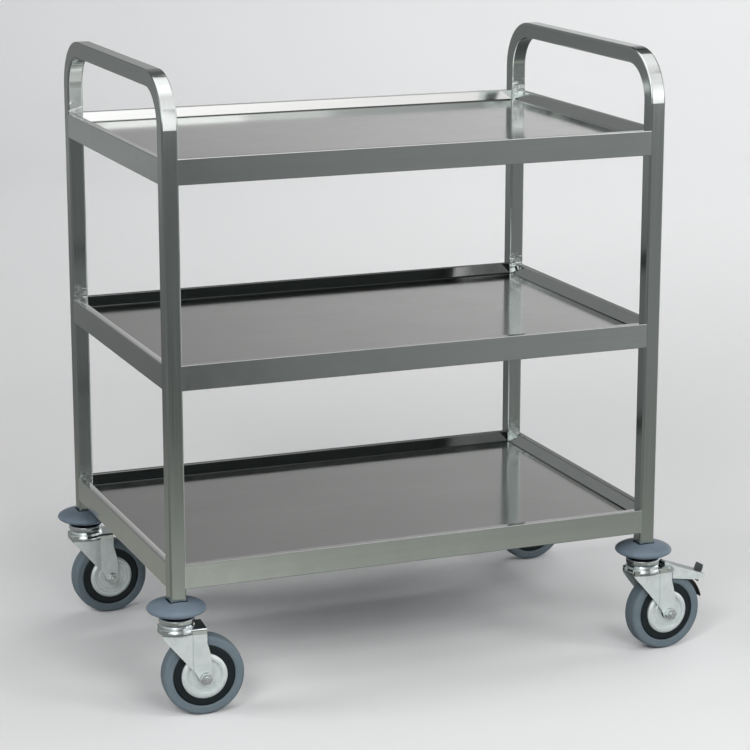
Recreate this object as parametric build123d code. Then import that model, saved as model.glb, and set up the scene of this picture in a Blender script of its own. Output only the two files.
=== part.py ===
from build123d import *
import math
import os

os.makedirs("parts", exist_ok=True)

# ---------------------------------------------------------------------------
# Three-tier serving trolley in satin stainless steel. Millimetres, +Z up.
# X runs along the long front side, -Y is the front, the floor is z = 0.
# The origin is the middle of the footprint of the whole trolley, castors and
# brake pedals included, so the frame itself sits a little to the left of it.
# ---------------------------------------------------------------------------

# frame
FRAME_W = 805.0  # over the outer faces of the posts, along X
FRAME_D = 532.0  # over the outer faces of the posts, along Y
FRAME_H = 965.0  # floor to the top of the handles
TUBE = 25.0  # square tube
TUBE_WALL = 1.5
TUBE_CORNER = 3.0  # outer corner radius of the tube
BEND_R = 67.0  # centre line radius of the handle bends
POST_FOOT = 169.0  # lower end of the posts, sunk in the bumpers

# shelves
RIM_Z = (238.0, 541.0, 844.0)  # top of the rim, bottom shelf first
SKIRT = 38.0  # height of the outer skirt
RIM_W = 12.0  # width of the flat rim
WELL = 15.0  # depth of the tray inside the rim
WELL_RUN = 12.0  # how far the sloping inner walls lean in towards the floor
SHEET = 1.0  # sheet thickness
HEM = 9.0  # inward fold along the lower edge of the skirt

# corner bumpers
BUMPER_R = 45.0
BUMPER_LOW, BUMPER_TOP = 160.5, 182.5
BUMPER_EDGE = 169.5  # height of the widest part
BUMPER_SAG = 11.0  # half height of the full curve of the underside

# castors, all measured from the swivel axis with the trail along local +X
WHEEL_R = 62.5
TYRE_W = 30.0
TYRE_IN = 48.0
GUARD_R = 35.0
TRAIL = 38.0
RACE_R, CUP_R = 27.2, 29.3  # swivel head: fixed race and turning cup
CUP_LOW, CUP_TOP = 132.0, 147.6  # turning cup
RACE_LOW = 148.2  # underside of the fixed race
NECK_R = 23.0  # neck between the fixed race and the bumper
KING_R = 8.0  # king pin, running in the fork
LEG_IN, LEG_OUT = 21.0, 23.5  # inner and outer face of the flat back of the legs
CROWN_LOW, CROWN_TOP = 137.3, 140.5
CREASE_X = 18.6  # vertical crease between the curved front and the flat back of a leg
BULGE_R, BULGE_OUT = 53.2, 25.5  # curved front of a leg
AXLE_R = 5.0
SLEEVE_R = 6.5
RUN = 0.06  # running clearance, radial
BALL_R, BALL_PITCH, BALL_COUNT = 2.9, 18.5, 16
GROOVE_R = 3.1

# brake
PIVOT_X, PIVOT_Z, PIVOT_R = 38.5, 136.5, 3.0
PEDAL_IN, PEDAL_OUT = 16.8, 18.8  # side flanges of the pedal
TONGUE_W = 22.0  # upturned tongue at the tip of the pedal
SHOE_IN, SHOE_OUT = 66.6, 68.2

# castor positions: name, X side, Y side, angle of the trail from +X, braked
CASTORS = (
    ("front_left", -1, -1, -5.0, False),
    ("back_left", -1, 1, 1.0, False),
    ("front_right", 1, -1, 4.0, True),
    ("back_right", 1, 1, 2.0, True),
)

# shift that puts the middle of the whole footprint on the origin
DATUM_X = -32.6

POST_X = FRAME_W / 2 - TUBE / 2
POST_Y = FRAME_D / 2 - TUBE / 2


def write(name, shape):
    """One node, moved to the datum."""
    solids = shape if isinstance(shape, (list, tuple)) else shape.solids()
    moved = [Pos(DATUM_X, 0, 0) * s for s in solids]
    whole = moved[0] if len(moved) == 1 else Compound(children=moved)
    whole.label = name
    export_step(whole, f"parts/{name}.step")


def block(x0, x1, y0, y1, z0, z1):
    return Pos((x0 + x1) / 2, (y0 + y1) / 2, (z0 + z1) / 2) * Box(
        x1 - x0, y1 - y0, z1 - z0
    )


def turned(points):
    """Solid of revolution about Z from (radius, z) points."""
    face = make_face(Polyline(*[(r, 0, z) for r, z in points], close=True))
    return revolve(face, axis=Axis.Z, revolution_arc=360)


def circles(solid, radius, z=None, tol=0.05):
    """Full circle edges of one radius, at one height if given."""
    return [
        e
        for e in solid.edges()
        if e.geom_type == GeomType.CIRCLE
        and abs(e.radius - radius) < tol
        and (z is None or abs(e.arc_center.Z - z) < tol)
    ]


# ---------------------------------------------------------------------------
# frame and shelves
# ---------------------------------------------------------------------------
def end_frame(side):
    """Front post, handle and back post bent from one length of square tube."""
    x, top = side * POST_X, FRAME_H - TUBE / 2
    path = FilletPolyline(
        (x, -POST_Y, POST_FOOT),
        (x, -POST_Y, top),
        (x, POST_Y, top),
        (x, POST_Y, POST_FOOT),
        radius=BEND_R,
    )
    start = Plane(origin=(x, -POST_Y, POST_FOOT), x_dir=(1, 0, 0), z_dir=(0, 0, 1))
    bore = TUBE - 2 * TUBE_WALL
    outer = sweep(start * RectangleRounded(TUBE, TUBE, TUBE_CORNER), path=path)
    inner = sweep(
        start * RectangleRounded(bore, bore, TUBE_CORNER - TUBE_WALL), path=path
    )
    return outer - inner


def basin(a, b, z, depth):
    """Block that tapers downwards, its sides leaning as the walls of the tray do."""
    lean = WELL_RUN / WELL * depth
    return loft(
        [
            Pos(0, 0, z - depth) * Rectangle(2 * (a - lean), 2 * (b - lean)),
            Pos(0, 0, z) * Rectangle(2 * a, 2 * b),
        ]
    )


def shelf(z):
    """Pressed tray: skirt, flat rim, well and floor, notched round the posts."""
    w, d = FRAME_W / 2, FRAME_D / 2
    low = z - SKIRT
    body = block(-w, w, -d, d, low, z)
    body = fillet(body.edges().group_by(Axis.Z)[-1], 1.0)
    body = fillet(body.edges().group_by(Axis.Z)[0], 1.0)

    # space under the rim and under the floor
    hollow = block(-w + SHEET, w - SHEET, -d + SHEET, d - SHEET, low + SHEET, z - SHEET)
    hollow = fillet(hollow.edges().group_by(Axis.Z)[-1], 0.3)
    a, b = w - RIM_W, d - RIM_W
    skew = SHEET * math.hypot(WELL, WELL_RUN) / WELL
    bowl = basin(a + skew, b + skew, z, WELL + SHEET)
    bowl = fillet(bowl.edges().group_by(Axis.Z)[0], 5.0)
    hem_gap = block(
        -w + HEM, w - HEM, -d + HEM, d - HEM, low - 1.0, low + SHEET + 0.5
    )
    body = body - (hollow - bowl) - hem_gap

    # the well, with a soft crease at the floor
    well = basin(a, b, z, WELL)
    well = fillet(well.edges().group_by(Axis.Z)[0], 4.0)
    well = well + block(-a, a, -b, b, z, z + 5.0)
    body = body - well

    # notches for the four posts
    for sx in (-1, 1):
        for sy in (-1, 1):
            notch = extrude(
                Pos(sx * POST_X, sy * POST_Y, low - 5)
                * RectangleRounded(TUBE + 0.1, TUBE + 0.1, TUBE_CORNER + 0.05),
                SKIRT + 10,
            )
            spare = block(
                sx * POST_X if sx > 0 else -w - 5,
                w + 5 if sx > 0 else sx * POST_X,
                sy * POST_Y if sy > 0 else -d - 5,
                d + 5 if sy > 0 else sy * POST_Y,
                low - 5,
                z + 5,
            )
            body = body - notch - spare
    # soft inner edge of the rim
    inner = [
        e
        for e in body.edges()
        if abs(e.center().Z - z) < 0.01
        and abs(e.center().X) < a + 0.01
        and abs(e.center().Y) < b + 0.01
    ]
    return fillet(inner, 0.9)


def bumper():
    """Lens-shaped wall bumper, threaded on the castor stem under the post."""
    rise = BUMPER_TOP - BUMPER_EDGE
    upper = Ellipse(BUMPER_R, rise) & Pos(BUMPER_R / 2, rise / 2) * Rectangle(BUMPER_R, rise)
    fall = BUMPER_EDGE - BUMPER_LOW
    lower = Ellipse(BUMPER_R, BUMPER_SAG) & Pos(BUMPER_R / 2, -fall / 2) * Rectangle(BUMPER_R, fall)
    at_edge = Plane.XZ * Pos(0, BUMPER_EDGE)
    lens = revolve(at_edge * upper, axis=Axis.Z) + revolve(at_edge * lower, axis=Axis.Z)
    # open seat round the post, and the socket below it
    seat = block(-14.5, 14.5, -14.5, 14.5, 178.0, BUMPER_TOP + 5)
    lens = lens - fillet(seat.edges().filter_by(Axis.Z), 4.0)
    socket = block(-12.7, 12.7, -12.7, 12.7, POST_FOOT, BUMPER_TOP + 5)
    socket = fillet(socket.edges().filter_by(Axis.Z), 3.1)
    return lens - socket - Pos(0, 0, 165) * Cylinder(6.1, 40)


# ---------------------------------------------------------------------------
# castor parts, in local coordinates
# ---------------------------------------------------------------------------
def stem():
    """King pin, threaded stem and the expander that grips inside the post."""
    return turned(
        [
            (0, 138.6),
            (11.0, 138.6),
            (12.0, 139.6),
            (12.0, 143.6),
            (KING_R, 143.6),
            (KING_R, BUMPER_LOW - 0.1),
            (6.0, BUMPER_LOW - 0.1),
            (6.0, 171.0),
            (10.85, 171.0),
            (10.85, 216.0),
            (9.5, 222.0),
            (0, 222.0),
        ]
    )


def race():
    """Fixed upper race of the swivel head."""
    ring = turned(
        [
            (KING_R + 0.02, RACE_LOW),
            (RACE_R, RACE_LOW),
            (RACE_R, 155.2),
            (NECK_R, 156.8),
            (NECK_R, BUMPER_LOW),
            (KING_R + 0.02, BUMPER_LOW),
        ]
    )
    ring = fillet(circles(ring, RACE_R, RACE_LOW), 1.8)
    ring = fillet(circles(ring, RACE_R, 155.2), 2.0)
    return ring - Pos(0, 0, (CUP_TOP + RACE_LOW) / 2) * Torus(BALL_PITCH, GROOVE_R)


def balls():
    """Ring of balls between the fork cup and the fixed race."""
    z = (CUP_TOP + RACE_LOW) / 2
    return [
        s
        for i in range(BALL_COUNT)
        for s in (
            Rot(0, 0, 360 / BALL_COUNT * i) * Pos(BALL_PITCH, 0, z) * Sphere(BALL_R)
        ).solids()
    ]


def leg_outline(top):
    """Side view of one fork leg in X and Z, its tip round the axle."""
    tip = 10.0
    low = (TRAIL - 9.4, WHEEL_R - 3.41)
    edge = [
        Polyline(
            low,
            (24.0, 69.6),
            (-25.5, 129.2),
            (-25.5, top),
            (41.0, top),
            (41.0, 117.0),
            (43.2, 110.0),
            (45.6, 100.0),
            (48.2, 84.0),
            (TRAIL + tip, WHEEL_R),
        ),
        ThreePointArc((TRAIL + tip, WHEEL_R), (TRAIL + 2.0, WHEEL_R - 9.798), low),
    ]
    return make_face(edge)


def fork(braked):
    """Pressed fork: turning cup of the swivel head, crown and two creased legs."""
    # bell-shaped cup, wider at its lower edge than the legs below it
    cup = turned(
        [
            (KING_R + RUN, 144.0),
            (22.5, 144.0),
            (22.5, CUP_LOW),
            (27.6, CUP_LOW),
            (CUP_R - 0.3, CUP_LOW + 1.2),
            (CUP_R, CUP_LOW + 3.0),
            (CUP_R - 0.4, CUP_LOW + 5.2),
            (CUP_R - 1.6, CUP_LOW + 8.4),
            (CUP_R - 2.4, CUP_LOW + 12.0),
            (CUP_R - 3.6, CUP_TOP - 1.4),
            (CUP_R - 5.2, CUP_TOP),
            (KING_R + RUN, CUP_TOP),
        ]
    )
    # flat back of the legs and the crown between them, one bent channel
    half = Plane.YZ * Pos(0, 70) * RectangleRounded(2 * LEG_OUT, 2 * (CROWN_TOP - 70), 3.0)
    core = Plane.YZ * Pos(0, 60) * Rectangle(2 * LEG_IN, 2 * (CROWN_LOW - 60))
    channel = extrude(half, 80) - extrude(core, 80)
    channel = channel & block(0, 60, -40, 40, 40, 160)
    outline = leg_outline(CROWN_TOP)
    prism = Pos(0, 40, 0) * extrude(Plane.XZ * outline, 80)
    back = channel & prism
    if braked:
        # open behind the head for the pedal, with an ear on each side
        back = back - block(27.5, 60, -LEG_IN, LEG_IN, 40, 160)
        for y0, y1 in ((-LEG_OUT, -LEG_IN), (LEG_IN, LEG_OUT)):
            ear = block(21.0, 41.0, y0, y1, 125.0, 142.5)
            ear = fillet(
                [e for e in ear.edges().filter_by(Axis.Y) if e.center().Z > 141.0], 5.0
            )
            back = back + ear
    back = back - Pos(0, 0, 140) * Cylinder(24.5, 40)
    front_half = back & block(-40, CREASE_X, -40, 40, CROWN_LOW, 160)
    body = (back & block(CREASE_X, 80, -40, 40, 0, 160)) + front_half
    # curved front of the legs, set in from the flat back at the crease
    for side in (-1, 1):
        centre = side * (BULGE_OUT - BULGE_R)
        shell = Pos(0, centre, 90) * (
            Cylinder(BULGE_R, 120) - Cylinder(BULGE_R - 2.5, 120)
        )
        y0, y1 = (-35, -15) if side < 0 else (15, 35)
        front = shell & prism & block(-25.5, CREASE_X + 1.6, y0, y1, 40, CROWN_TOP - 0.5)
        y0, y1 = (-LEG_OUT + 0.5, -19.3) if side < 0 else (19.3, LEG_OUT - 0.5)
        web = prism & block(CREASE_X, CREASE_X + 2.4, y0, y1, 40, CROWN_LOW)
        body = body + front + web
        # the crease itself, a narrow pressed groove
        y0, y1 = (-40, -21.6) if side < 0 else (21.6, 40)
        body = body - block(CREASE_X - 0.3, CREASE_X + 1.5, y0, y1, 40, CUP_LOW - 0.5)
    body = body + cup
    if braked:
        body = body - Pos(PIVOT_X, 0, PIVOT_Z) * Rot(90, 0, 0) * Cylinder(PIVOT_R, 80)
    axle = Pos(TRAIL, 0, WHEEL_R) * Rot(90, 0, 0) * Cylinder(AXLE_R + 0.02, 80)
    groove = Pos(0, 0, (CUP_TOP + RACE_LOW) / 2) * Torus(BALL_PITCH, GROOVE_R)
    inside = Pos(0, 0, 100) * Cylinder(22.5, 88)
    return body - axle - groove - inside


def hexagon(across, length):
    return extrude(RegularPolygon(across / 2, 6, major_radius=False), length)


def along_axle(shape):
    """Local Z of a turned piece laid along the axle, +Z to the front (-Y)."""
    return Pos(TRAIL, 0, WHEEL_R) * Rot(90, 0, 0) * shape


def axle_bolt():
    head = Pos(0, 0, -LEG_OUT - 6.4) * hexagon(16.0, 6.4)
    head = fillet(head.edges().group_by(Axis.Z)[0], 0.6)
    shank = Pos(0, 0, -LEG_OUT - 1) * Cylinder(
        AXLE_R, 2 * LEG_OUT + 11.5, align=(Align.CENTER, Align.CENTER, Align.MIN)
    )
    shank = chamfer(shank.edges().group_by(Axis.Z)[-1], 0.8)
    return along_axle(head + shank)


def axle_nut():
    washer = Pos(0, 0, LEG_OUT) * Cylinder(
        9.0, 1.4, align=(Align.CENTER, Align.CENTER, Align.MIN)
    )
    nut = Pos(0, 0, LEG_OUT + 1.4) * hexagon(16.0, 7.0)
    nut = fillet(nut.edges().group_by(Axis.Z)[-1], 0.8)
    bore = Cylinder(AXLE_R + 0.02, 120)
    return along_axle(washer + nut - bore)


def axle_sleeve():
    tube = Cylinder(SLEEVE_R, 2 * LEG_IN) - Cylinder(AXLE_R + 0.02, 120)
    return along_axle(tube)


def tyre():
    half = TYRE_W / 2
    ring = turned(
        [
            (TYRE_IN, -half + 1.5),
            (TYRE_IN + 2.0, -half),
            (WHEEL_R - 0.6, -half),
            (WHEEL_R, 0),
            (WHEEL_R - 0.6, half),
            (TYRE_IN + 2.0, half),
            (TYRE_IN, half - 1.5),
        ]
    )
    ring = fillet(circles(ring, WHEEL_R - 0.6), 6.0)
    return along_axle(ring)


def rim():
    """Black wheel centre with hub, web and tyre seat."""
    seat, hub = TYRE_W / 2 - 2.5, 18.8
    body = turned(
        [
            (SLEEVE_R + RUN, -hub),
            (9.0, -hub),
            (10.0, -15.0),
            (16.0, -15.0),
            (18.0, -5.0),
            (32.0, -5.0),
            (33.0, -seat),
            (45.0, -seat),
            (TYRE_IN, -seat + 1.0),
            (TYRE_IN, seat - 1.0),
            (45.0, seat),
            (33.0, seat),
            (32.0, 5.0),
            (18.0, 5.0),
            (16.0, 15.0),
            (10.0, 15.0),
            (9.0, hub),
            (SLEEVE_R + RUN, hub),
        ]
    )
    return along_axle(body)


def thread_guards():
    """Two pressed discs, one on each side of the wheel."""
    seat = TYRE_W / 2 - 2.5
    pan = [
        (10.4, 16.3),
        (20.5, 16.3),
        (22.5, 14.2),
        (26.4, 14.2),
        (27.8, 18.0),
        (31.6, 18.0),
        (GUARD_R, 15.6),
        (GUARD_R, seat),
        (GUARD_R - 1.2, seat),
        (GUARD_R - 1.2, 14.9),
        (31.2, 16.8),
        (28.7, 16.8),
        (27.3, 13.0),
        (21.9, 13.0),
        (19.9, 15.1),
        (10.4, 15.1),
    ]
    front = turned(pan)
    back = Rot(180, 0, 0) * turned(pan)
    return [
        s for shape in (front, back) for s in along_axle(shape).solids()
    ]


# ---------------------------------------------------------------------------
# brake, in the same local coordinates
# ---------------------------------------------------------------------------
def brake_pedal():
    """Channel-shaped foot lever with a narrow upturned tongue at its tip."""
    top = [(29.8, 147.6), (39.0, 142.6), (54.0, 135.2), (105.0, 116.4)]
    side = [
        *top,
        (104.4, 111.6),
        (101.5, 109.9),
        (95.0, 109.7),
        (45.0, 118.6),
        (45.0, 132.2),
        (30.2, 132.2),
    ]
    outline = make_face(Polyline(*side, close=True))
    flange = extrude(Plane.XZ * outline, PEDAL_OUT - PEDAL_IN)
    near = Pos(0, -PEDAL_IN, 0) * flange
    far = Pos(0, PEDAL_OUT, 0) * flange
    plate_side = [
        (29.8, 147.6),
        (39.0, 142.6),
        (54.0, 135.2),
        (105.4, 116.3),
        (106.2, 118.1),
        (54.8, 137.1),
        (39.9, 144.4),
        (30.8, 149.4),
    ]
    plate = extrude(
        Plane.XZ * make_face(Polyline(*plate_side, close=True)), 2 * PEDAL_OUT
    )
    plate = Pos(0, PEDAL_OUT, 0) * plate
    # narrow upturned tongue at the tip
    tongue_side = [
        (102.8, 117.6),
        (105.4, 116.4),
        (110.0, 129.6),
        (108.1, 130.3),
        (104.2, 119.2),
    ]
    tongue = extrude(
        Plane.XZ * make_face(Polyline(*tongue_side, close=True)), TONGUE_W
    )
    tongue = fillet(
        [e for e in tongue.edges().filter_by(Axis((0, 0, 0), (1.9, 0, -0.7))) if e.center().Z > 128.0],
        4.0,
    )
    tongue = Pos(0, TONGUE_W / 2, 0) * tongue
    body = plate + tongue + near + far
    bore = Pos(PIVOT_X, 0, PIVOT_Z) * Rot(90, 0, 0) * Cylinder(PIVOT_R + RUN, 80)
    return body - bore


def brake_pin():
    """Rivet through the ears of the fork."""
    pin = Cylinder(PIVOT_R, 2 * LEG_OUT)
    for end in (-1, 1):
        pin = pin + Pos(0, 0, end * (LEG_OUT + 0.8)) * Cylinder(4.6, 1.6)
    return Pos(PIVOT_X, 0, PIVOT_Z) * Rot(90, 0, 0) * pin


def brake_shoe():
    """Curved leaf over the tread, carried on a block under the pedal."""

    def at(radius, degrees):
        a = math.radians(degrees)
        return (TRAIL + radius * math.cos(a), WHEEL_R + radius * math.sin(a))

    lo, hi = 14.0, 60.0
    mid = (lo + hi) / 2
    leaf = make_face(
        [
            ThreePointArc(at(SHOE_IN, lo), at(SHOE_IN, mid), at(SHOE_IN, hi)),
            Line(at(SHOE_IN, hi), at(SHOE_OUT, hi)),
            ThreePointArc(at(SHOE_OUT, hi), at(SHOE_OUT, mid), at(SHOE_OUT, lo)),
            Line(at(SHOE_OUT, lo), at(SHOE_IN, lo)),
        ]
    )
    width = 24.0
    strip = Pos(0, width / 2, 0) * extrude(Plane.XZ * leaf, width)
    # block that fills the gap up to the underside of the pedal plate, with a nose
    # that stands clear of the leaf
    slope = (116.3 - 135.2) / (105.4 - 54.0)
    under = lambda x: 135.2 + slope * (x - 54.0) - 0.02
    foot = at(SHOE_OUT - 0.6, 59.0)
    carrier = make_face(
        Polyline(
            foot,
            (foot[0], under(foot[0])),
            (101.0, under(101.0)),
            (101.0, 109.0),
            (97.5, 104.2),
            (94.0, 109.2),
            at(SHOE_OUT + 3.0, 46.0),
            at(SHOE_OUT + 3.0, 52.0),
            at(SHOE_OUT - 0.6, 54.0),
            close=True,
        )
    )
    pad = Pos(0, width / 2, 0) * extrude(Plane.XZ * carrier, width)
    return strip + pad


# ---------------------------------------------------------------------------
# write the nodes
# ---------------------------------------------------------------------------
write("left_end_frame", end_frame(-1))
write("right_end_frame", end_frame(1))
for name, z in zip(("bottom_shelf", "middle_shelf", "top_shelf"), RIM_Z):
    write(name, shelf(z))

for corner, sx, sy, yaw, braked in CASTORS:
    post = Pos(sx * POST_X, sy * POST_Y, 0)
    turn = post * Rot(0, 0, yaw)

    def put(name, shape, place=turn):
        items = shape if isinstance(shape, (list, tuple)) else shape.solids()
        write(f"{name}_{corner}", [place * s for s in items])

    put("corner_bumper", bumper(), post)
    put("castor_stem", stem(), post)
    put("swivel_race", race(), post)
    put("swivel_balls", balls())
    put("castor_fork", fork(braked))
    put("axle_bolt", axle_bolt())
    put("axle_nut", axle_nut())
    put("axle_sleeve", axle_sleeve())
    put("tyre", tyre())
    put("wheel_rim", rim())
    put("thread_guards", thread_guards())
    if braked:
        put("brake_pedal", brake_pedal())
        put("brake_pin", brake_pin())
        put("brake_shoe", brake_shoe())
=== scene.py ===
"""Looks of the three-tier serving trolley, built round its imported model."""

import math

import bmesh
import bpy
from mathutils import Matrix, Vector

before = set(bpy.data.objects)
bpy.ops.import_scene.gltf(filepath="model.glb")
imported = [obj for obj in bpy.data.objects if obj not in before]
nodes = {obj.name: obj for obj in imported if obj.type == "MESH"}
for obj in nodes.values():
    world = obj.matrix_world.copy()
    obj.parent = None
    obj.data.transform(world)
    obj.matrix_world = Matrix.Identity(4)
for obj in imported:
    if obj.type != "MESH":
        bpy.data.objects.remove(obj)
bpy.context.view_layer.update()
scene = bpy.context.scene

# ---------------------------------------------------------------------------
# dimensions that the looks share with the model, in metres
# ---------------------------------------------------------------------------
OX = -0.0326  # middle of the frame along X
FRAME_W, FRAME_D, FRAME_H = 0.805, 0.532, 0.965
TUBE = 0.025
BEND_Y, BEND_Z, BEND_R = 0.1865, 0.8855, 0.067  # centre and radius of the bends
RIM_Z = (0.238, 0.541, 0.844)
SKIRT = 0.038
CORNERS = ("front_left", "back_left", "front_right", "back_right")
BRAKED = ("front_right", "back_right")


# ---------------------------------------------------------------------------
# small node helpers
# ---------------------------------------------------------------------------
class Tree:
    """A material's nodes, with short calls for the ones used here."""

    def __init__(self, name):
        self.mat = bpy.data.materials.new(name)
        self.mat.use_nodes = True
        self.nt = self.mat.node_tree
        self.nt.nodes.clear()
        self.out = self.nt.nodes.new("ShaderNodeOutputMaterial")
        self.bsdf = self.nt.nodes.new("ShaderNodeBsdfPrincipled")
        self.nt.links.new(self.bsdf.outputs["BSDF"], self.out.inputs["Surface"])

    def node(self, kind, **props):
        n = self.nt.nodes.new(kind)
        for k, v in props.items():
            setattr(n, k, v)
        return n

    def put(self, value, socket):
        """A link if value is a socket, else a constant."""
        if isinstance(value, bpy.types.NodeSocket):
            self.nt.links.new(value, socket)
        else:
            socket.default_value = value

    def set(self, name, value):
        self.put(value, self.bsdf.inputs[name])

    def math(self, op, a, b=0.0, clamp=False):
        n = self.node("ShaderNodeMath", operation=op, use_clamp=clamp)
        self.put(a, n.inputs[0])
        self.put(b, n.inputs[1])
        return n.outputs[0]

    def coords(self):
        """Object coordinates and their three parts."""
        tc = self.node("ShaderNodeTexCoord")
        sep = self.node("ShaderNodeSeparateXYZ")
        self.nt.links.new(tc.outputs["Object"], sep.inputs[0])
        return tc.outputs["Object"], sep.outputs[0], sep.outputs[1], sep.outputs[2]

    def normal_parts(self):
        tc = self.node("ShaderNodeTexCoord")
        sep = self.node("ShaderNodeSeparateXYZ")
        self.nt.links.new(tc.outputs["Normal"], sep.inputs[0])
        return sep.outputs[0], sep.outputs[1], sep.outputs[2]

    def vector(self, x, y, z):
        n = self.node("ShaderNodeCombineXYZ")
        for v, s in zip((x, y, z), n.inputs):
            self.put(v, s)
        return n.outputs[0]

    def noise(self, vector, scale=1.0, detail=3.0, rough=0.55, distortion=0.0):
        n = self.node("ShaderNodeTexNoise")
        self.put(vector, n.inputs["Vector"])
        n.inputs["Scale"].default_value = scale
        n.inputs["Detail"].default_value = detail
        n.inputs["Roughness"].default_value = rough
        n.inputs["Distortion"].default_value = distortion
        return n.outputs["Fac"]

    def ramp(self, fac, low, high, a=0.0, b=1.0, smooth=False):
        """Map fac from low..high to a..b, clamped."""
        n = self.node(
            "ShaderNodeMapRange",
            interpolation_type="SMOOTHSTEP" if smooth else "LINEAR",
        )
        self.put(fac, n.inputs["Value"])
        n.inputs["From Min"].default_value = low
        n.inputs["From Max"].default_value = high
        n.inputs["To Min"].default_value = a
        n.inputs["To Max"].default_value = b
        return n.outputs["Result"]

    def colour(self, fac, dark, light):
        n = self.node("ShaderNodeMix", data_type="RGBA")
        self.put(fac, n.inputs["Factor"])
        n.inputs["A"].default_value = (*dark, 1)
        n.inputs["B"].default_value = (*light, 1)
        # the colour sockets are the last pair of A and B
        a = [s for s in n.inputs if s.name == "A" and s.type == "RGBA"][0]
        b = [s for s in n.inputs if s.name == "B" and s.type == "RGBA"][0]
        a.default_value, b.default_value = (*dark, 1), (*light, 1)
        return [s for s in n.outputs if s.type == "RGBA"][0]

    def blend(self, fac, one, two):
        """Mix of two colour sockets."""
        n = self.node("ShaderNodeMix", data_type="RGBA")
        self.put(fac, n.inputs["Factor"])
        a = [s for s in n.inputs if s.name == "A" and s.type == "RGBA"][0]
        b = [s for s in n.inputs if s.name == "B" and s.type == "RGBA"][0]
        self.put(one, a)
        self.put(two, b)
        return [s for s in n.outputs if s.type == "RGBA"][0]

    def bump(self, height, distance, strength=1.0, normal=None):
        n = self.node("ShaderNodeBump")
        n.inputs["Strength"].default_value = strength
        n.inputs["Distance"].default_value = distance
        self.put(height, n.inputs["Height"])
        if normal is not None:
            self.put(normal, n.inputs["Normal"])
        return n.outputs["Normal"]


def steel_tube():
    """Satin ground stainless tube; the grain follows the tube round its bends."""
    t = Tree("stainless_tube")
    obj, x, y, z = t.coords()
    ay = t.math("ABSOLUTE", y)
    dy = t.math("MAXIMUM", t.math("SUBTRACT", ay, BEND_Y), 0.0)
    dz = t.math("MAXIMUM", t.math("SUBTRACT", z, BEND_Z), 0.0)
    across = t.math(
        "SQRT", t.math("ADD", t.math("MULTIPLY", dy, dy), t.math("MULTIPLY", dz, dz))
    )
    turn = t.math("MULTIPLY", t.math("ARCTAN2", dz, dy), BEND_R)
    along = t.math("ADD", t.math("MINIMUM", z, BEND_Z), turn)
    along = t.math(
        "ADD", along, t.math("MAXIMUM", t.math("SUBTRACT", BEND_Y, ay), 0.0)
    )
    side = t.math("MULTIPLY", t.math("SIGN", y), 3.0)
    along = t.math("ADD", along, side)
    grain = t.noise(
        t.vector(
            t.math("MULTIPLY", x, 2600.0),
            t.math("MULTIPLY", across, 2600.0),
            t.math("MULTIPLY", along, 14.0),
        ),
        1.0,
        2.0,
        0.6,
    )
    streak = t.noise(
        t.vector(
            t.math("MULTIPLY", x, 420.0),
            t.math("MULTIPLY", across, 420.0),
            t.math("MULTIPLY", along, 5.0),
        ),
        1.0,
        3.0,
        0.55,
    )
    cloud = t.noise(obj, 11.0, 3.0, 0.5)
    bend = t.ramp(t.math("MULTIPLY", dy, dz), 0.0, 0.00035, 0.0, 1.0, smooth=True)
    # dull patch left by the corner welds, on the inner faces just above each rim
    nx, ny, nz = t.normal_parts()
    inner = t.ramp(t.math("MULTIPLY", ny, t.math("SIGN", y)), -0.7, -0.4, 1.0, 0.0)
    weld = None
    for rim in RIM_Z:
        away = t.math("ABSOLUTE", t.math("SUBTRACT", t.math("SUBTRACT", z, rim), 0.006))
        patch = t.ramp(away, 0.0, 0.024, 1.0, 0.0, smooth=True)
        weld = patch if weld is None else t.math("MAXIMUM", weld, patch)
    weld = t.math("MULTIPLY", t.math("MULTIPLY", weld, inner), t.ramp(x, -0.1, 0.1, 0.6, 1.0))
    tone = t.math("ADD", t.math("MULTIPLY", streak, 0.55), t.math("MULTIPLY", cloud, 0.45))
    t.set("Base Color", t.colour(t.ramp(tone, 0.3, 0.7), (0.455, 0.503, 0.490), (0.508, 0.558, 0.545)))
    t.set("Metallic", 1.0)
    rough = t.ramp(streak, 0.25, 0.75, 0.125, 0.17)
    rough = t.math("SUBTRACT", rough, t.math("MULTIPLY", bend, 0.03))
    rough = t.math("ADD", rough, t.math("MULTIPLY", weld, 0.11))
    t.set("Roughness", rough)
    # the ground-off weld is left uneven
    ripple = t.noise(
        t.vector(
            t.math("MULTIPLY", x, 55.0),
            t.math("MULTIPLY", y, 55.0),
            t.math("MULTIPLY", z, 120.0),
        ),
        1.0,
        1.0,
        0.5,
    )
    ripple = t.math("MULTIPLY", t.math("SUBTRACT", ripple, 0.5), weld)
    t.set("Normal", t.bump(ripple, 0.0036, 1.0, t.bump(grain, 0.000006, 0.35)))
    return t.mat


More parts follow.
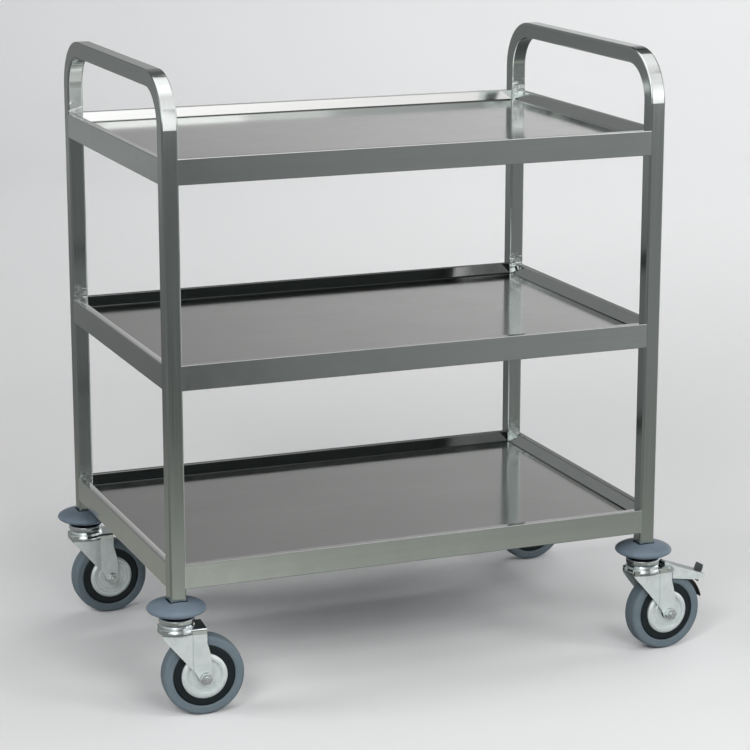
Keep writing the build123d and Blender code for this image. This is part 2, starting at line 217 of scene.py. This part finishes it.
def steel_sheet():
    """Satin stainless sheet; the grain runs along each fold."""
    t = Tree("stainless_sheet")
    obj, x, y, z = t.coords()
    nx, ny, nz = t.normal_parts()
    ends = t.ramp(t.math("ABSOLUTE", nx), 0.6, 0.8)
    long_x = t.vector(
        t.math("MULTIPLY", x, 9.0),
        t.math("MULTIPLY", y, 2300.0),
        t.math("MULTIPLY", z, 2300.0),
    )
    long_y = t.vector(
        t.math("MULTIPLY", x, 2300.0),
        t.math("MULTIPLY", y, 9.0),
        t.math("MULTIPLY", z, 2300.0),
    )
    g1, g2 = t.noise(long_x, 1.0, 2.0, 0.6), t.noise(long_y, 1.0, 2.0, 0.6)
    grain = t.math(
        "ADD",
        t.math("MULTIPLY", g1, t.math("SUBTRACT", 1.0, ends)),
        t.math("MULTIPLY", g2, ends),
    )
    streak_x = t.vector(
        t.math("MULTIPLY", x, 3.0),
        t.math("MULTIPLY", y, 160.0),
        t.math("MULTIPLY", z, 160.0),
    )
    streak = t.noise(streak_x, 1.0, 4.0, 0.6)
    cloud = t.noise(obj, 5.5, 3.0, 0.5)
    handling = t.noise(obj, 34.0, 4.0, 0.6, 0.6)
    tone = t.math("ADD", t.math("MULTIPLY", streak, 0.4), t.math("MULTIPLY", cloud, 0.6))
    tone = t.ramp(tone, 0.3, 0.7)
    # painted light: the steel colour follows the way each face points, lighter on the walls, darker on the sloped
    # faces, between the two on the floors
    bright = t.blend(
        t.ramp(nz, 0.1, 0.5),
        t.colour(tone, (0.585, 0.638, 0.627), (0.655, 0.709, 0.697)),
        t.colour(tone, (0.500, 0.536, 0.522), (0.565, 0.604, 0.589)),
    )
    bright = t.blend(t.ramp(nz, 0.75, 0.95), bright, t.colour(tone, (0.54, 0.552, 0.535), (0.61, 0.622, 0.605)))
    # painted shade: the downward faces under the tray floors are painted dark grey and made non-metal and rougher
    painted_underside_shade = t.ramp(nz, -0.95, -0.8, 1.0, 0.0)
    # painted shade: a dark line is painted in the fold at the foot of the lower two tray walls
    fold = None
    for rim in RIM_Z[:2]:
        depth = t.math("SUBTRACT", rim, z)
        low = t.math("MULTIPLY", t.ramp(depth, 0.0115, 0.0125), t.ramp(depth, 0.0155, 0.0165, 1.0, 0.0))
        fold = low if fold is None else t.math("MAXIMUM", fold, low)
    fold = t.math("MULTIPLY", fold, t.math("MULTIPLY", t.ramp(nz, 0.64, 0.70), t.ramp(nz, 0.985, 0.998, 1.0, 0.0)))
    bright = t.blend(fold, bright, t.colour(cloud, (0.10, 0.115, 0.115), (0.16, 0.175, 0.175)))
    t.set("Base Color", t.blend(painted_underside_shade, bright, t.colour(t.noise(obj, 160.0, 3.0), (0.030, 0.037, 0.037), (0.052, 0.060, 0.060))))
    t.set("Metallic", t.math("SUBTRACT", 1.0, painted_underside_shade))
    rough = t.ramp(handling, 0.3, 0.75, 0.10, 0.145)
    t.set("Roughness", t.math("ADD", rough, t.math("MULTIPLY", painted_underside_shade, 0.5)))
    n = t.bump(grain, 0.000010, 0.45)
    n = t.bump(t.noise(obj, 3.2, 1.0, 0.4), 0.0022, 0.35, n)
    # the rims roll over slightly towards the tray, but for the back of the top shelf, and less at the left
    inside = t.math(
        "MINIMUM",
        t.math("SUBTRACT", 0.4025, t.math("ABSOLUTE", t.math("SUBTRACT", x, OX))),
        t.math("SUBTRACT", 0.266, t.math("ABSOLUTE", y)),
    )
    fall = t.math("MULTIPLY", t.math("MULTIPLY", inside, inside), -1.0)
    rolled = t.bump(fall, 26.0, 1.0, n)
    land = None
    for rim in RIM_Z:
        near = t.ramp(t.math("ABSOLUTE", t.math("SUBTRACT", z, rim)), 0.0004, 0.0008, 1.0, 0.0)
        if rim == RIM_Z[2]:
            near = t.math("MULTIPLY", near, t.ramp(y, 0.250, 0.253, 1.0, 0.0))
        land = near if land is None else t.math("MAXIMUM", land, near)
    land = t.math("MULTIPLY", land, t.ramp(t.math("SUBTRACT", x, OX), -0.391, -0.388, 0.5, 1.0))
    t.set("Normal", t.blend(t.math("MULTIPLY", land, t.ramp(nz, 0.9, 0.97)), n, rolled))
    return t.mat


def zinc(name, dark, light, rough_low, rough_high, metal=1.0, shiny_from=None, painted_shade_from=None, painted_facing_shade=False):
    """Bright zinc plate over pressed steel, polished above one height, or painted near black as shade above one
    height, if given.
    """
    t = Tree(name)
    obj, x, y, z = t.coords()
    fine = t.noise(obj, 900.0, 3.0, 0.6)
    cloud = t.noise(obj, 70.0, 4.0, 0.6, 0.5)
    tone = t.colour(t.ramp(cloud, 0.3, 0.7), dark, light)
    if painted_shade_from is not None:
        # painted shade: the neck above the race, under the bumper, is painted near black
        neck = t.ramp(z, painted_shade_from - 0.0004, painted_shade_from + 0.0004, smooth=True)
        tone = t.blend(neck, tone, t.colour(fine, (0.02, 0.024, 0.027), (0.035, 0.04, 0.044)))
    if painted_facing_shade:
        # painted shade: faces that look along or up the trolley are painted darker than the side plates
        nx, ny, nz = t.normal_parts()
        edge = t.ramp(t.math("ABSOLUTE", ny), 0.55, 0.8, 1.0, 0.0)
        tone = t.blend(edge, tone, t.colour(cloud, (0.27, 0.31, 0.32), (0.36, 0.40, 0.41)))
        metal = t.ramp(edge, 0.0, 1.0, metal, 0.9)
    t.set("Base Color", tone)
    rough = t.ramp(cloud, 0.25, 0.75, rough_low, rough_high)
    if shiny_from is None:
        t.set("Metallic", metal)
    else:
        shine = t.ramp(z, shiny_from - 0.0006, shiny_from + 0.0006, smooth=True)
        t.set("Metallic", t.ramp(shine, 0.0, 1.0, metal, 1.0))
        rough = t.math("MULTIPLY", rough, t.ramp(shine, 0.0, 1.0, 1.0, 0.30))
    t.set("Roughness", rough)
    n = t.bump(fine, 0.00004, 0.5)
    n = t.bump(cloud, 0.00025, 0.35, n)
    t.set("Normal", n)
    return t.mat


def moulded(name, dark, light, rough_low, rough_high, grain, spec=0.4):
    """Matt moulding or rubber with a fine grain and some scuffing."""
    t = Tree(name)
    obj, x, y, z = t.coords()
    fine = t.noise(obj, 1500.0, 3.0, 0.65)
    cloud = t.noise(obj, 55.0, 4.0, 0.6, 0.4)
    scuff = t.ramp(t.noise(obj, 210.0, 5.0, 0.7, 1.2), 0.56, 0.75)
    tone = t.math("ADD", t.ramp(cloud, 0.3, 0.7, 0.0, 0.75), t.math("MULTIPLY", scuff, 0.25), clamp=True)
    t.set("Base Color", t.colour(tone, dark, light))
    t.set("Roughness", t.ramp(cloud, 0.25, 0.75, rough_low, rough_high))
    t.set("Specular IOR Level", spec)
    n = t.bump(fine, grain, 0.6)
    n = t.bump(cloud, 0.00022, 0.3, n)
    t.set("Normal", n)
    return t.mat


MAT = {
    "tube": steel_tube(),
    "sheet": steel_sheet(),
    "zinc": zinc("zinc_plate", (0.66, 0.73, 0.73), (0.76, 0.83, 0.83), 0.36, 0.48, 0.5),
    "fork": zinc("zinc_fork", (0.66, 0.73, 0.73), (0.76, 0.83, 0.83), 0.30, 0.40, 0.5, shiny_from=0.1316),
    "pedal": zinc("zinc_pedal", (0.66, 0.73, 0.73), (0.76, 0.83, 0.83), 0.30, 0.42, 0.5, painted_facing_shade=True),
    "head": zinc("zinc_bright", (0.68, 0.73, 0.75), (0.80, 0.85, 0.87), 0.08, 0.13, painted_shade_from=0.1562),
    "bolt": zinc("zinc_bolt", (0.56, 0.61, 0.61), (0.68, 0.73, 0.73), 0.20, 0.28, 0.85),
    "ball": zinc("ball_steel", (0.55, 0.56, 0.57), (0.65, 0.66, 0.67), 0.10, 0.16),
    "dark": zinc("dark_leaf", (0.035, 0.037, 0.04), (0.06, 0.062, 0.065), 0.38, 0.5),
    "bumper": moulded("bumper_grey", (0.112, 0.150, 0.190), (0.142, 0.182, 0.225), 0.40, 0.52, 0.00005),
    "tyre": moulded("tyre_grey", (0.103, 0.137, 0.160), (0.127, 0.162, 0.185), 0.58, 0.72, 0.00008, 0.3),
    "black": moulded("black_centre", (0.005, 0.009, 0.011), (0.009, 0.015, 0.018), 0.38, 0.5, 0.00004),
}

LOOK = {
    "left_end_frame": "tube",
    "right_end_frame": "tube",
    "bottom_shelf": "sheet",
    "middle_shelf": "sheet",
    "top_shelf": "sheet",
}
for c in CORNERS:
    for part, look in (
        ("corner_bumper", "bumper"),
        ("castor_stem", "bolt"),
        ("swivel_race", "head"),
        ("swivel_balls", "ball"),
        ("castor_fork", "fork"),
        ("axle_bolt", "bolt"),
        ("axle_nut", "bolt"),
        ("axle_sleeve", "ball"),
        ("tyre", "tyre"),
        ("wheel_rim", "black"),
        ("thread_guards", "zinc"),
    ):
        LOOK[f"{part}_{c}"] = look
for c in BRAKED:
    LOOK[f"brake_pedal_{c}"] = "pedal"
    LOOK[f"brake_pin_{c}"] = "bolt"
    LOOK[f"brake_shoe_{c}"] = "dark"

for name, look in LOOK.items():
    o = nodes[name]
    o.data.materials.clear()
    o.data.materials.append(MAT[look])

# ---------------------------------------------------------------------------
# stage: one pale sweep of floor and wall all round, soft light from above
# ---------------------------------------------------------------------------
def sweep_stage():
    """Round floor that curves up into a wall, far outside the trolley."""
    profile = [(r, 0.0) for r in (0.0, 1.0, 2.0, 3.0, 4.0, 5.0)]
    turn = 2.6
    profile += [
        (5.0 + turn * math.sin(a), turn * (1 - math.cos(a)))
        for a in [math.pi / 2 * i / 16 for i in range(1, 17)]
    ]
    profile += [(7.6, z) for z in (3.2, 4.0, 5.0)]
    steps = 96
    bm = bmesh.new()
    rings = []
    for r, z in profile:
        if r == 0.0:
            rings.append([bm.verts.new((0, 0, z))])
        else:
            rings.append(
                [
                    bm.verts.new(
                        (r * math.cos(2 * math.pi * i / steps), r * math.sin(2 * math.pi * i / steps), z)
                    )
                    for i in range(steps)
                ]
            )
    for low, high in zip(rings, rings[1:]):
        for i in range(steps):
            j = (i + 1) % steps
            if len(low) == 1:
                bm.faces.new((low[0], high[i], high[j]))
            else:
                bm.faces.new((low[i], high[i], high[j], low[j]))
    me = bpy.data.meshes.new("stage_sweep")
    bm.to_mesh(me)
    bm.free()
    for p in me.polygons:
        p.use_smooth = True
    o = bpy.data.objects.new("stage_sweep", me)
    scene.collection.objects.link(o)
    t = Tree("stage_paper")
    obj, x, y, z = t.coords()
    t.set("Base Color", t.colour(t.noise(obj, 0.7, 2.0, 0.5), (0.695, 0.708, 0.728), (0.73, 0.742, 0.76)))
    t.set("Roughness", 0.9)
    t.set("Specular IOR Level", 0.1)
    me.materials.append(t.mat)
    o.visible_glossy = False  # the steel shows the studio light, not the paper


def dark_card(name, low, high, height, tone):
    """Dark card seen in reflections only, as painted shade in what the steel mirrors."""
    bm = bmesh.new()
    n = 6
    rows = [
        [
            bm.verts.new((low[0] + (high[0] - low[0]) * i / n, low[1] + (high[1] - low[1]) * j / n, height))
            for i in range(n + 1)
        ]
        for j in range(n + 1)
    ]
    for j in range(n):
        for i in range(n):
            bm.faces.new((rows[j][i], rows[j][i + 1], rows[j + 1][i + 1], rows[j + 1][i]))
    me = bpy.data.meshes.new(name)
    bm.to_mesh(me)
    bm.free()
    o = bpy.data.objects.new(name, me)
    scene.collection.objects.link(o)
    t = Tree(name)
    obj, x, y, z = t.coords()
    t.set("Base Color", t.colour(t.noise(obj, 3.0, 2.0, 0.5), (tone, tone * 1.04, tone * 1.1), (tone * 1.4, tone * 1.44, tone * 1.5)))
    t.set("Roughness", 0.9)
    me.materials.append(t.mat)
    o.visible_camera = False
    o.visible_diffuse = False
    o.visible_shadow = False


def softbox(name, place, aim, size, watts, colour=(1, 1, 1)):
    data = bpy.data.lights.new(name, "AREA")
    data.shape = "RECTANGLE"
    data.size, data.size_y = size
    data.energy = watts
    data.color = colour
    o = bpy.data.objects.new(name, data)
    o.location = place
    o.rotation_mode = "QUATERNION"
    o.rotation_quaternion = (Vector(aim) - Vector(place)).to_track_quat("-Z", "Y")
    scene.collection.objects.link(o)
    return o


def studio_light():
    """Soft studio surroundings, dark and light by direction.

    Each column is one side of the room, by degrees from the front towards the
    right, and holds the brightness at the listed elevations.
    """
    heights = (-90, -30, -19, -18, -17, -16, -14.5, -13, -10, -9, -8, -6, -2, 4, 10, 16, 24, 40, 60, 68, 90)
    columns = {
        17: (
            0.06, 0.16, 0.74, 0.66, 0.27, 0.08, 0.04, 0.14, 0.147, 0.15,
            0.16, 0.18, 0.20, 0.20, 0.20, 0.22, 0.30, 0.35, 0.30, 0.80, 0.85,
        ),
        20: (
            0.06, 0.16, 0.50, 0.46, 0.34, 0.20, 0.17, 0.23, 0.24, 0.24,
            0.243, 0.25, 0.28, 0.32, 0.40, 0.35, 0.35, 0.30, 0.25, 0.80, 0.85,
        ),
        28: (
            0.06, 0.16, 0.46, 0.46, 0.30, 0.17, 0.30, 0.32, 0.29, 0.28,
            0.28, 0.28, 0.45, 0.80, 1.20, 0.70, 0.40, 0.12, 0.12, 0.80, 0.85,
        ),
        80: (
            0.06, 0.16, 0.398, 0.42, 0.417, 0.413, 0.408, 0.403, 0.42, 0.43,
            0.44, 0.477, 0.55, 0.95, 1.25, 1.50, 0.90, 0.12, 0.12, 0.80, 0.85,
        ),
        120: (
            0.06, 0.18, 0.345, 0.36, 0.375, 0.39, 0.412, 0.435, 0.50, 0.525,
            0.55, 0.633, 0.80, 1.50, 1.40, 1.00, 0.30, 0.12, 0.20, 0.45, 0.85,
        ),
        150: (
            0.06, 0.20, 0.292, 0.30, 0.317, 0.333, 0.358, 0.383, 0.45, 0.475,
            0.50, 0.55, 0.65, 0.86, 0.76, 0.46, 0.24, 0.12, 0.20, 0.80, 0.85,
        ),
        170: (
            0.06, 0.22, 0.293, 0.30, 0.297, 0.293, 0.288, 0.283, 0.30, 0.31,
            0.32, 0.327, 0.34, 0.24, 0.20, 0.17, 0.31, 0.20, 0.15, 0.80, 0.85,
        ),
        200: (
            0.06, 0.25, 0.29, 0.30, 0.30, 0.22, 0.12, 0.15, 0.18, 0.36,
            0.28, 0.20, 0.27, 0.33, 0.20, 0.25, 0.27, 0.10, 0.15, 0.80, 0.85,
        ),
        250: (
            0.06, 0.25, 0.259, 0.26, 0.248, 0.237, 0.219, 0.202, 0.195, 0.198,
            0.20, 0.22, 0.26, 0.32, 0.36, 0.50, 0.45, 0.15, 0.20, 0.80, 0.85,
        ),
        300: (
            0.06, 0.20, 0.237, 0.24, 0.233, 0.227, 0.217, 0.207, 0.204, 0.206,
            0.208, 0.212, 0.22, 0.40, 0.60, 0.80, 0.80, 0.60, 0.40, 0.80, 0.85,
        ),
        330: (
            0.06, 0.14, 0.25, 0.26, 0.25, 0.24, 0.225, 0.21, 0.204, 0.206,
            0.208, 0.212, 0.22, 0.60, 1.70, 2.30, 2.30, 1.50, 0.60, 0.80, 0.85,
        ),
        355: (
            0.06, 0.14, 0.305, 0.32, 0.26, 0.20, 0.20, 0.20, 0.20, 0.20,
            0.20, 0.20, 0.20, 0.25, 0.35, 0.50, 0.60, 0.60, 0.40, 0.80, 0.85,
        ),
    }
    scale = 3.2
    world = bpy.data.worlds.new("studio")
    world.use_nodes = True
    nt = world.node_tree
    link = nt.links.new

    def math_node(op, a, b=0.0):
        n = nt.nodes.new("ShaderNodeMath")
        n.operation = op
        for v, socket in zip((a, b), n.inputs):
            if isinstance(v, bpy.types.NodeSocket):
                link(v, socket)
            else:
                socket.default_value = v
        return n.outputs[0]

    def curve(fac, stops):
        n = nt.nodes.new("ShaderNodeValToRGB")
        n.color_ramp.interpolation = "LINEAR"
        e = n.color_ramp.elements
        while len(e) < len(stops):
            e.new(0.5)
        for item, (place, value) in zip(e, stops):
            item.position = place
            item.color = (value, value, value, 1.0)
        link(fac, n.inputs[0])
        return n.outputs[0]

    tc = nt.nodes.new("ShaderNodeTexCoord")
    sep = nt.nodes.new("ShaderNodeSeparateXYZ")
    link(tc.outputs["Generated"], sep.inputs[0])
    x, y, z = sep.outputs
    up = math_node("ADD", math_node("DIVIDE", math_node("ARCSINE", z), math.pi), 0.5)
    turn = math_node("ARCTAN2", x, math_node("MULTIPLY", y, -1.0))
    turn = math_node("FRACT", math_node("ADD", math_node("DIVIDE", turn, 2 * math.pi), 1.0))
    sides = sorted(columns)
    total = None
    for i, side in enumerate(sides):
        before = sides[i - 1] - (360 if i == 0 else 0)
        after = sides[(i + 1) % len(sides)] + (360 if i == len(sides) - 1 else 0)
        peak = [(before, 0.0), (side, 1.0), (after, 0.0)]
        if before < 0:
            cut = side / (side - before)
            peak = [(0, 1.0 - cut), (side, 1.0), (after, 0.0), (before + 360, 0.0), (360, 1.0 - cut)]
        if after > 360:
            cut = (360 - side) / (after - side)
            peak = [(0, 1.0 - cut), (after - 360, 0.0), (before, 0.0), (side, 1.0), (360, 1.0 - cut)]
        share = curve(turn, [(a / 360, v) for a, v in peak])
        level = curve(up, [((h + 90) / 180, v / scale) for h, v in zip(heights, columns[side])])
        part = math_node("MULTIPLY", share, level)
        total = part if total is None else math_node("ADD", total, part)
    light = math_node("MULTIPLY", total, scale)
    # a band of what comes up off the floor is slightly warmer
    band = ((-90, 1.0), (-23, 1.0), (-20.5, 0.9), (-17, 0.9), (-14.5, 1.0), (90, 1.0))
    warm = curve(up, [((90 + e) / 180, value) for e, value in band])
    mixed = nt.nodes.new("ShaderNodeCombineXYZ")
    for value, socket in zip((light, light, math_node("MULTIPLY", light, warm)), mixed.inputs):
        link(value, socket)
    link(mixed.outputs[0], nt.nodes["Background"].inputs["Color"])
    scene.world = world
    # the matt parts and the paper take their light from the lamps alone
    world.cycles_visibility.diffuse = False


sweep_stage()
# one card lies where the shadow of the trolley is, a painted shadow that only reflections show; one hangs high
# behind it, painted shade for the reflections
dark_card("stage_shadow_card", (-0.20 + OX, -0.24), (0.40 + OX, 0.28), 0.002, 0.05)
dark_card("stage_flag", (-0.15 + OX, 0.295), (0.95 + OX, 0.42), 1.4, 0.012)
studio_light()
WARM = (1.0, 0.985, 0.96)
# paper lights: they light the floor, the wall and the matt parts, and show in no reflection
for lamp in (
    softbox("top_right", (2.6, 0.5, 4.8), (2.6, 0.5, 0.0), (3.0, 3.0), 22.0, WARM),
    softbox("top_front", (0.6, -2.2, 4.6), (0.4, -1.6, 0.0), (2.0, 2.0), 45.0, WARM),
    softbox("front_left", (-2.6, -3.4, 3.2), (0.0, 0.0, 0.2), (1.6, 1.4), 98.0, WARM),
    softbox("front", (0.0, -4.6, 2.8), (0.0, 0.0, 0.2), (2.0, 1.4), 104.0, WARM),
    softbox("front_right", (2.8, -3.4, 3.0), (0.0, 0.0, 0.2), (1.6, 1.4), 45.0, WARM),
    softbox("wall", (3.0, 3.0, 4.2), (2.6, 6.6, 0.4), (4.0, 1.5), 158.0, WARM),
    softbox("left", (-4.2, 0.4, 2.6), (0.0, 0.0, 0.1), (1.6, 1.6), 70.0, WARM),
    softbox("right", (4.2, 0.4, 2.6), (0.0, 0.0, 0.1), (1.6, 1.6), 31.0, WARM),
):
    lamp.visible_glossy = False
    lamp.visible_camera = False

# soft boxes close to the trolley, above it and in front, shown by the steel alone
PINK = (1.0, 0.925, 0.94)
for lamp in (
    softbox("box_above", (0.1425 + OX, -0.495, 1.5), (0.1425 + OX, -0.495, 0.0), (1.185, 1.15), 5.70, PINK),
    softbox("box_above_back", (-0.025 + OX, 0.16, 1.5), (-0.025 + OX, 0.16, 0.0), (0.29, 0.16), 0.19, PINK),
    softbox("box_above_side", (0.21 + OX, 0.16, 1.5), (0.21 + OX, 0.16, 0.0), (0.18, 0.16), 0.05, PINK),
    softbox("box_above_right", (0.8325 + OX, -0.815, 1.5), (0.8325 + OX, -0.815, 0.0), (0.195, 0.51), 0.42, PINK),
    softbox("box_left", (-0.2775 + OX, -1.07, 1.1575), (-0.2775 + OX, 0.0, 1.1575), (0.345, 0.685), 1.22, PINK),
    softbox("box_middle", (0.2875 + OX, -1.07, 1.225), (0.2875 + OX, 0.0, 1.225), (0.785, 0.55), 0.69, PINK),
    softbox("box_right", (0.805 + OX, -1.07, 1.1575), (0.805 + OX, 0.0, 1.1575), (0.25, 0.685), 0.74, PINK),
    softbox("box_far_right", (1.025 + OX, -1.07, 1.25), (1.025 + OX, 0.0, 1.25), (0.19, 0.5), 0.30, PINK),
):
    lamp.visible_diffuse = False
    lamp.visible_camera = False

scene.view_settings.view_transform = "Standard"
scene.view_settings.look = "None"
scene.view_settings.exposure = 0.0
scene.view_settings.gamma = 1.0

# ---------------------------------------------------------------------------
# camera
# ---------------------------------------------------------------------------
cam_data = bpy.data.cameras.new("camera")
cam_data.sensor_width = 36.0
cam_data.lens = 123.2
cam = bpy.data.objects.new("camera", cam_data)
scene.collection.objects.link(cam)
cam.location = (-1.4593 + OX, -3.7373, 1.4148)
yaw, pitch = math.radians(-21.72), math.radians(13.75)
ahead = Vector(
    (-math.sin(yaw) * math.cos(pitch), math.cos(yaw) * math.cos(pitch), -math.sin(pitch))
)
cam.rotation_mode = "QUATERNION"
cam.rotation_quaternion = ahead.to_track_quat("-Z", "Y")
scene.camera = cam

bpy.context.view_layer.update()
